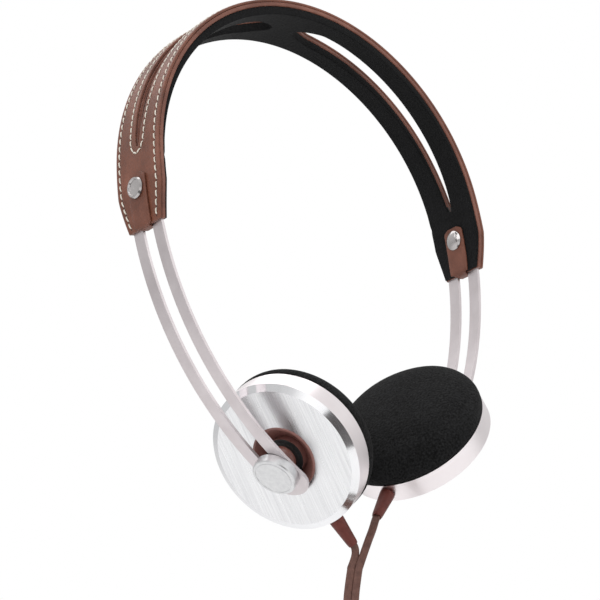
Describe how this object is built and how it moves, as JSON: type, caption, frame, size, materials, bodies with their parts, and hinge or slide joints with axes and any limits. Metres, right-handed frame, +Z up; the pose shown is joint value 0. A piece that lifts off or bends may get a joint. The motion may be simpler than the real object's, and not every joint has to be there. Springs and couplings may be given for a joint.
{
  "type": "on-ear headphones",
  "caption": "On-ear headphones: slotted leather headband, sliding twin-tine steel forks, round aluminium cups on ball joints, foam pads and a flat cord with a jack plug.",
  "frame": {"origin": "underside of the headband padding at the top centre, where the head holds it", "axes": "+Z up, X from ear to ear with -X the left as seen from the front, -Y towards the front"},
  "size_m": [0.1758, 0.0658, 0.4045],
  "materials": {
    "leather": "satin brown leather",
    "lining": "black velour",
    "spring_steel": "spring steel",
    "fibre_board": "pressed fibre",
    "black_plastic": "moulded black",
    "nickel": "polished nickel",
    "satin_steel": "satin, warm grey",
    "aluminium": "brushed face, polished chamfer",
    "cap_aluminium": "brushed",
    "brown_plastic": "moulded brown",
    "screw_steel": "plated",
    "felt": "felt",
    "driver_plastic": "moulded",
    "magnet": "plated",
    "film": "thin film",
    "grille_steel": "black",
    "board": "solder mask",
    "foam": "open-cell foam",
    "relief_rubber": "brown rubber",
    "cord": "matte brown jacket",
    "tie": "hook and loop tie",
    "plug_plastic": "moulded brown",
    "contact": "plated contacts"
  },
  "bodies": {
    "headband": {"headband_leather": "leather", "headband_pad": "lining", "headband_spring": "spring_steel", "headband_board": "fibre_board", "guide_left": "black_plastic", "guide_right": "black_plastic", "tab_left": "leather", "tab_right": "leather", "rivet_left": "nickel", "rivet_right": "nickel", "rivet_cap_left": "nickel", "rivet_cap_right": "nickel", "twin_cord": "cord", "cord_hank": "cord", "cord_tie": "tie", "cord_tail": "cord", "plug_relief": "relief_rubber", "plug_body": "plug_plastic", "plug_contacts": "contact"},
    "fork_left": {"fork_left": "satin_steel", "pivot_cap_left": "cap_aluminium", "ball_left": "brown_plastic"},
    "race_left": {"race_left": "black_plastic"},
    "cup_left": {"shell_left": "aluminium", "funnel_left": "brown_plastic", "chassis_left": "black_plastic", "baffle_left": "black_plastic", "screws_left": "screw_steel", "felt_left": "felt", "driver_left": "driver_plastic", "magnet_left": "magnet", "diaphragm_left": "film", "grille_left": "grille_steel", "terminal_left": "board", "clamp_left": "black_plastic", "foam_left": "foam", "relief_left": "relief_rubber", "lead_left": "cord"},
    "fork_right": {"fork_right": "satin_steel", "pivot_cap_right": "cap_aluminium", "ball_right": "brown_plastic"},
    "race_right": {"race_right": "black_plastic"},
    "cup_right": {"shell_right": "aluminium", "funnel_right": "brown_plastic", "chassis_right": "black_plastic", "baffle_right": "black_plastic", "screws_right": "screw_steel", "felt_right": "felt", "driver_right": "driver_plastic", "magnet_right": "magnet", "diaphragm_right": "film", "grille_right": "grille_steel", "terminal_right": "board", "clamp_right": "black_plastic", "foam_right": "foam", "relief_right": "relief_rubber", "lead_right": "cord"}
  },
  "joints": [
    {"name": "extend_left", "type": "hinge", "parent": "headband", "child": "fork_left", "pos_m": [0.05377, 0, -0.08576], "axis": [0, -1, 0], "range_deg": [-7.11, 0.59], "deforming": ["lead_left"]},
    {"name": "extend_right", "type": "hinge", "parent": "headband", "child": "fork_right", "pos_m": [-0.05377, 0, -0.08576], "axis": [0, 1, 0], "range_deg": [-0.84, 1.67], "deforming": ["lead_right"]},
    {"name": "tilt_left", "type": "hinge", "parent": "fork_left", "child": "race_left", "pos_m": [-0.03029, 0, -0.18453], "axis": [0, -1, 0], "range_deg": [0, 5]},
    {"name": "tilt_right", "type": "hinge", "parent": "fork_right", "child": "race_right", "pos_m": [0.04062, 0, -0.17471], "axis": [0, 1, 0], "range_deg": [-4, 2]},
    {"name": "turn_left", "type": "hinge", "parent": "race_left", "child": "cup_left", "pos_m": [-0.03029, 0, -0.18453], "axis": [0.5821, 0, -0.8131], "range_deg": [-5, 12]},
    {"name": "turn_right", "type": "hinge", "parent": "race_right", "child": "cup_right", "pos_m": [0.04062, 0, -0.17471], "axis": [-0.6198, 0, -0.7848], "range_deg": [0, 22]}
  ]
}
